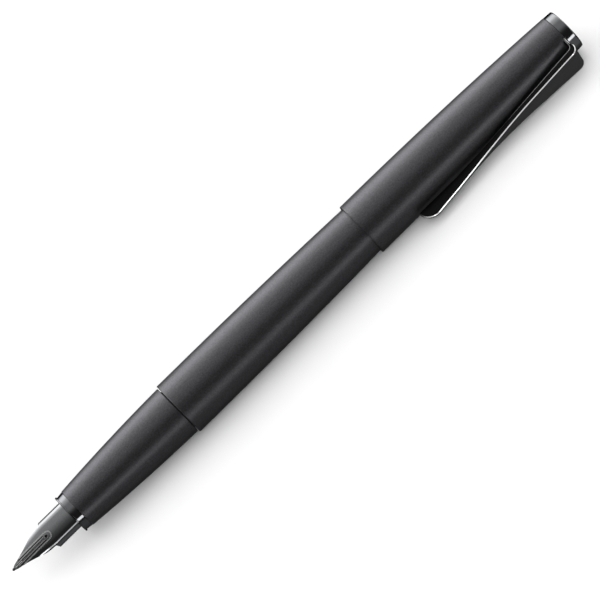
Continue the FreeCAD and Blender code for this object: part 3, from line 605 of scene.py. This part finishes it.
def clip_half(distance):
    """Half the clip's width, seen from outside: a thin blade that widens into a wedge."""
    if distance <= BLADE_STRAIGHT:
        return BLADE_HALF
    if distance >= WEDGE_END:
        return WEDGE_END_HALF
    if distance >= WEDGE_START:
        share = (distance - WEDGE_START) / (WEDGE_END - WEDGE_START)
        return WEDGE_START_HALF + (WEDGE_END_HALF - WEDGE_START_HALF) * share
    start, end = (BLADE_STRAIGHT, BLADE_HALF), (WEDGE_START, WEDGE_START_HALF)
    curve = [start] + arc(start, end, -WEDGE_CURVE, 40) + [end]
    for (x0, y0), (x1, y1) in zip(curve, curve[1:]):
        if x0 <= distance <= x1:
            return y0 + (y1 - y0) * (distance - x0) / (x1 - x0)
    return WEDGE_START_HALF


def line(start, end, steps):
    """Points from start towards end, without the end."""
    (x0, y0), (x1, y1) = start, end
    return [(x0 + (x1 - x0) * n / steps, y0 + (y1 - y0) * n / steps) for n in range(steps)]


def clip_outside():
    """The clip's outside in its side view, from its free end to the tongue's end."""
    nose = (CLIP_FREE_END, CLIP_HEEL + NOSE_RISE)
    top_end = (CLIP_REAR - CLIP_CORNER, CLIP_TOP)
    corner_end = (CLIP_REAR, CLIP_TOP - CLIP_CORNER)
    shelf = (CLIP_REAR, CLIP_SHELF)
    tongue_top, tongue_end = (TONGUE_REAR, TONGUE_TOP), (TONGUE_REAR, TONGUE_END)
    points = [nose] + arc(nose, CLIP_PEAK, CLIP_NOSE, 20)
    points += line(CLIP_PEAK, CLIP_BEND_FRONT, 24)
    points += [CLIP_BEND_FRONT] + arc(CLIP_BEND_FRONT, CLIP_BEND_REAR, -CLIP_BEND, 30)
    points += line(CLIP_BEND_REAR, top_end, 24)
    points += [top_end] + arc(top_end, corner_end, CLIP_CORNER, 12)
    points += line(corner_end, shelf, 3) + line(shelf, tongue_top, 4)
    return points + line(tongue_top, tongue_end, 6) + [tongue_end]


def clip_inside():
    """The clip's inside, with a point for each point of its outside."""
    heel, heel_end = (CLIP_FREE_END + HEEL_SETBACK, CLIP_HEEL), (HEEL_END, CLIP_HEEL)
    under_peak = (CLIP_PEAK[0], CLIP_HEEL)
    under_end = (TONGUE_FRONT - UNDER_BEND, CLIP_UNDER)
    tongue_top, tongue_end = (TONGUE_FRONT, CLIP_UNDER - UNDER_BEND), (TONGUE_FRONT, TONGUE_END)
    points = line(heel, under_peak, 20) + line(under_peak, heel_end, 14)
    points += line(heel_end, under_end, 64)
    points += [under_end] + arc(under_end, tongue_top, UNDER_BEND, 12)
    return points + line(tongue_top, tongue_end, 13) + [tongue_end]


def outward(outline, number, side):
    """Unit normal of an outline at one of its points, to its left (side 1) or right (side -1)."""
    ahead = Vector(outline[min(number + 1, len(outline) - 1)])
    behind = Vector(outline[max(number - 1, 0)])
    way = (ahead - behind).normalized()
    return Vector((-way.y, way.x)) * side


# The chamfer's width on the face and its height on the side, and the inner edge's rounding.
EDGE_OUT, EDGE_SIDE, EDGE_ROUND = 0.19, 0.15, 0.13


def clip_section(outer, inner, number):
    """One closed section of the clip: on each side a chamfer, a flat side and a rounded inner edge."""
    out_way, in_way = outward(outer, number, 1), outward(inner, number, -1)
    corners = []
    half = clip_half(outer[number][0])
    for side, inset in ((half - EDGE_OUT, 0.0), (half, EDGE_SIDE)):
        place = Vector(outer[number]) - out_way * inset
        corners.append((place.x, side, place.y))
    half = clip_half(inner[number][0])
    for angle in (90, 60, 30, 0):
        turn = math.radians(angle)
        place = Vector(inner[number]) - in_way * EDGE_ROUND * (1 - math.cos(turn))
        corners.append((place.x, half - EDGE_ROUND * (1 - math.sin(turn)), place.y))
    far = [(x, -y, z) for x, y, z in reversed(corners)]
    return corners + far


# The side material is painted shade; the chamfer, inner-edge and tongue-edge materials are painted
# highlights.
CLIP_MATERIALS = (CLIP_FACE, CHAMFER_HIGHLIGHT, CLIP_SIDE_SHADE, INNER_EDGE_HIGHLIGHT, TONGUE_EDGE_HIGHLIGHT)
FACE, BRIGHT, SIDE, HIGHLIT_INNER, HIGHLIT_TONGUE = range(5)
# The strips round a section: a chamfer, a side, a rounded inner edge of three, the inside, the same again
# on the far side, and the face.
STRIPS = [BRIGHT, SIDE, FACE, FACE, FACE, FACE, FACE, FACE, FACE, SIDE, BRIGHT, FACE]
CHAMFERS, INNER_EDGES = (0, 10), (2, 3, 7, 8)
INNER_HIGHLIGHT_START, RIM_HEIGHT = 136.0, 5.3


def strip_material(strip, outside, inside):
    """The inner edge gets a painted highlight along the wedge, and the chamfer a pale grey painted highlight
    where the tongue enters the rim.
    """
    if strip in INNER_EDGES and inside[0] > INNER_HIGHLIGHT_START:
        return HIGHLIT_INNER
    if strip in CHAMFERS and outside[1] < RIM_HEIGHT:
        return HIGHLIT_TONGUE
    return STRIPS[strip]


def make_clip():
    """The clip: a blade whose chamfers carry a painted highlight, its inside and the tongue that goes into
    the cap's rim.
    """
    outer, inner = clip_outside(), clip_inside()
    sections = [clip_section(outer, inner, number) for number in range(len(outer))]
    size = len(STRIPS)
    points = [point for section in sections for point in section]
    faces, kinds = [], []
    for row in range(len(sections) - 1):
        for step in range(size):
            beside = (step + 1) % size
            a, b = row * size, (row + 1) * size
            faces.append((a + step, a + beside, b + beside, b + step))
            kinds.append(strip_material(step, outer[row], inner[row]))
    last = (len(sections) - 1) * size
    faces += [tuple(range(size)), tuple(last + step for step in range(size))]
    kinds += [BRIGHT, FACE]
    clip = add_mesh("clip_blade", points, faces, CLIP_ROLL, crease=28.0)
    finish_piece(clip, CLIP_MATERIALS[FACE], "clip", "black_clip_steel", "clip")
    for material in CLIP_MATERIALS[1:]:
        clip.data.materials.append(material)
    for polygon, kind in zip(clip.data.polygons, kinds):
        polygon.material_index = kind


# ---------------------------------------------------------------- stage


FLOOR_SIZE = 6.0


def make_floor():
    bpy.ops.mesh.primitive_plane_add(size=FLOOR_SIZE, location=(0, 0, 0))
    floor = bpy.context.object
    floor.name = "floor"
    floor.data.materials.append(grained("pale_floor", (0.84, 0.86), (0.8, 0.9), 0.0, 60.0))
    floor.visible_glossy = False


VIEW_ELEVATION = math.radians(37.3)
CAMERA_DISTANCE = 1.0
CAMERA_OVER = 47.2
AIM_ALONG, AIM_DOWN = 80.2, 1.475
PEN_SLOPE = math.radians(44.44)
LENS = 294.68


def make_camera():
    """A long lens looking across the pen from the clip's side, turned so that the pen rises to the right."""
    toward = Vector((0, -math.cos(VIEW_ELEVATION), math.sin(VIEW_ELEVATION)))
    along = Vector((1, 0, 0))
    down = along.cross(toward)
    axis = Vector((TIP_X, AXIS_Y, AXIS_Z))
    place = axis + along * CAMERA_OVER * MM + toward * CAMERA_DISTANCE
    aim = axis + along * AIM_ALONG * MM + down * AIM_DOWN * MM
    back = (place - aim).normalized()
    pen_way = (along - back * along.dot(back)).normalized()
    pen_down = pen_way.cross(back)
    right = pen_way * math.cos(PEN_SLOPE) + pen_down * math.sin(PEN_SLOPE)
    up = back.cross(right)
    camera = bpy.data.objects.new("camera", bpy.data.cameras.new("camera"))
    camera.matrix_world = Matrix.Translation(place) @ Matrix((right, up, back)).transposed().to_4x4()
    camera.data.lens = LENS
    camera.data.clip_start = 0.01
    bpy.context.scene.collection.objects.link(camera)
    bpy.context.scene.camera = camera


# What the metal mirrors, by angle about the pen's axis: 0 is the horizon in front, 90 overhead, 180 behind.
SOFTBOX_GLOW = [
    (-150, 0.04), (-100, 0.10), (-60, 0.12), (-34, 0.10), (-27, 0.02), (-20.5, 0.02), (-19.5, 0.95),
    (-5.5, 0.95), (-4.5, 0.03), (28, 0.03), (37, 0.045), (47, 0.12), (63, 0.37), (76, 0.40), (91, 0.42),
    (118, 1.1), (132, 2.1), (148, 2.3), (160, 1.9), (167, 0.35), (175, 0.03), (210, 0.03),
]
STRIP_LOW, STRIP_HIGH = -19.5, -5.5
DOME_RADIUS, CARD_RADIUS = 0.7, 0.595
DOME_ROWS, DOME_STEPS, CARD_STEPS = 24, 180, 12


def around_pen(x, radius, angle):
    """A point at an angle about the pen's axis, in degrees up from the horizon in front."""
    turn = math.radians(angle)
    return (x, AXIS_Y - radius * math.cos(turn), AXIS_Z + radius * math.sin(turn))


def make_dome():
    """A dome that only reflections see: softboxes overhead and behind, and a low strip in front."""
    lowest = SOFTBOX_GLOW[0][0]
    width = DOME_STEPS + 1
    points, faces = [], []
    for row in range(DOME_ROWS + 1):
        polar = math.pi * row / DOME_ROWS
        along, ring = DOME_RADIUS * math.cos(polar), DOME_RADIUS * math.sin(polar)
        points += [around_pen(along, ring, lowest + 360 * step / DOME_STEPS) for step in range(width)]
    for row in range(DOME_ROWS):
        for step in range(DOME_STEPS):
            a, b = row * width + step, (row + 1) * width + step
            faces.append((a, a + 1, b + 1, b))
    dome = add_reflector("reflection_dome", points, faces, glow_material())
    layer = dome.data.uv_layers.new(name="angle")
    for loop in dome.data.loops:
        layer.data[loop.index].uv = (loop.vertex_index % width / DOME_STEPS, 0.5)


def add_reflector(name, points, faces, material):
    """A piece of the studio, in the shared frame, that only reflections see."""
    mesh = bpy.data.meshes.new(name)
    mesh.from_pydata(points, [], faces)
    mesh.materials.append(material)
    reflector = bpy.data.objects.new(name, mesh)
    bpy.context.scene.collection.objects.link(reflector)
    reflector.visible_camera = False
    reflector.visible_diffuse = False
    reflector.visible_shadow = False
    reflector.visible_transmission = False
    return reflector


def new_glow(name, strength):
    """A material that only glows."""
    material = bpy.data.materials.new(name)
    material.use_nodes = True
    tree = material.node_tree
    tree.nodes.clear()
    light = tree.nodes.new("ShaderNodeEmission")
    light.inputs["Strength"].default_value = strength
    output = tree.nodes.new("ShaderNodeOutputMaterial")
    tree.links.new(light.outputs["Emission"], output.inputs["Surface"])
    return material, tree, light


def glow_material():
    """The dome's glow, which follows SOFTBOX_GLOW round the pen."""
    brightest = max(glow for _, glow in SOFTBOX_GLOW)
    material, tree, light = new_glow("softbox_glow", brightest)
    coordinates = tree.nodes.new("ShaderNodeTexCoord")
    parts = tree.nodes.new("ShaderNodeSeparateXYZ")
    ramp = tree.nodes.new("ShaderNodeValToRGB")
    stops = ramp.color_ramp.elements
    for number, (angle, glow) in enumerate(SOFTBOX_GLOW):
        place = (angle - SOFTBOX_GLOW[0][0]) / 360
        stop = stops[number] if number < 2 else stops.new(place)
        stop.position = place
        stop.color = (*grey(glow / brightest), 1)
    tree.links.new(coordinates.outputs["UV"], parts.inputs["Vector"])
    tree.links.new(parts.outputs["X"], ramp.inputs["Fac"])
    tree.links.new(ramp.outputs["Color"], light.inputs["Color"])
    return material


def make_card(name, start, end, glow, lowest=STRIP_LOW, highest=STRIP_HIGH):
    """A bright card in front of the dome, between two places along the pen and two angles round it."""
    width = CARD_STEPS + 1
    points = []
    for along in (start, end):
        for step in range(width):
            angle = lowest + (highest - lowest) * step / CARD_STEPS
            points.append(around_pen(TIP_X + along * MM, CARD_RADIUS, angle))
    faces = [(step, step + 1, width + step + 1, width + step) for step in range(CARD_STEPS)]
    add_reflector(name, points, faces, new_glow(name, glow)[0])


END_CARD_PLACE = 458.0
END_CARD_FRONT, END_CARD_BACK, END_CARD_LOW, END_CARD_HIGH = -200.0, 220.0, -60.0, 30.0
END_CARD_GLOW = 1.5


def make_end_card():
    """An upright card past the pen's rear end, for the bright edges that turn the corner there."""
    across = (END_CARD_FRONT, END_CARD_BACK, END_CARD_BACK, END_CARD_FRONT)
    height = (END_CARD_LOW, END_CARD_LOW, END_CARD_HIGH, END_CARD_HIGH)
    points = [pen_matrix() @ Vector((END_CARD_PLACE, y, z)) for y, z in zip(across, height)]
    add_reflector("end_card", points, [(0, 1, 2, 3)], new_glow("end_card", END_CARD_GLOW)[0])


LAMP_WAY, LAMP_DISTANCE, LAMP_SIDE, LAMP_POWER = (0.0, -0.8, 0.6), 0.9, 0.5, 1.6
WORLD_STRENGTH = 1.2


def make_light():
    """A soft lamp in front and an even white surround; reflections see neither of them."""
    data = bpy.data.lights.new("front_fill", "AREA")
    data.shape = "RECTANGLE"
    data.size = LAMP_SIDE
    data.size_y = LAMP_SIDE
    data.energy = LAMP_POWER
    lamp = bpy.data.objects.new("front_fill", data)
    way = Vector(LAMP_WAY).normalized()
    lamp.location = way * LAMP_DISTANCE
    lamp.rotation_euler = way.to_track_quat("Z", "X").to_euler()
    lamp.visible_glossy = False
    bpy.context.scene.collection.objects.link(lamp)
    world = bpy.data.worlds.new("studio")
    world.use_nodes = True
    background = world.node_tree.nodes["Background"]
    background.inputs["Color"].default_value = (1.0, 1.0, 1.0, 1)
    background.inputs["Strength"].default_value = WORLD_STRENGTH
    world.cycles_visibility.glossy = False
    bpy.context.scene.world = world
    settings = bpy.context.scene.view_settings
    settings.view_transform = "Standard"
    settings.look = "None"


# ---------------------------------------------------------------- whole pen


# The CAD nodes that keep their own mesh.
PAINTED = {
    "feed": BLACK_PLASTIC,
    "section_core": BLACK_PLASTIC,
    "converter_socket": BLACK_PLASTIC,
    "converter_tube": CLEAR,
    "converter_sleeve": BLACK_CHROME,
    "rod_guide": BLACK_PLASTIC,
    "converter_knob": GLOSS_PLASTIC,
    "piston_rod": WHITE_PLASTIC,
    "piston_seal": RUBBER,
    "barrel_thread_insert": BRASS,
    "barrel_end_plug": BLACK_PLASTIC,
    "cap_clutch_ring": SPRING_STEEL,
    "inner_cap": BLACK_PLASTIC,
    "cap_crown_plug": BLACK_PLASTIC,
    "finial_nut": BRASS,
}
# Each card: name, start and end along the pen, glow and, off the low strip, its lowest and highest angle.
CARDS = [
    ("nib_card", -50.0, -18.0, 2.0),
    ("ring_card", -185.0, -110.0, 3.0),
    ("finial_card", 225.0, 300.0, 3.0),
    ("finial_low_card", 225.0, 300.0, 0.22, -75.0, -22.0),
]

make_grip()
make_ring()
make_barrel()
make_cap()
make_finial()
make_nib()
make_engraving()
make_tipping()
make_clip()
for node, material in PAINTED.items():
    paint(node, material)
make_floor()
make_dome()
for card in CARDS:
    make_card(*card)
make_end_card()
make_camera()
make_light()

bpy.context.view_layer.update()
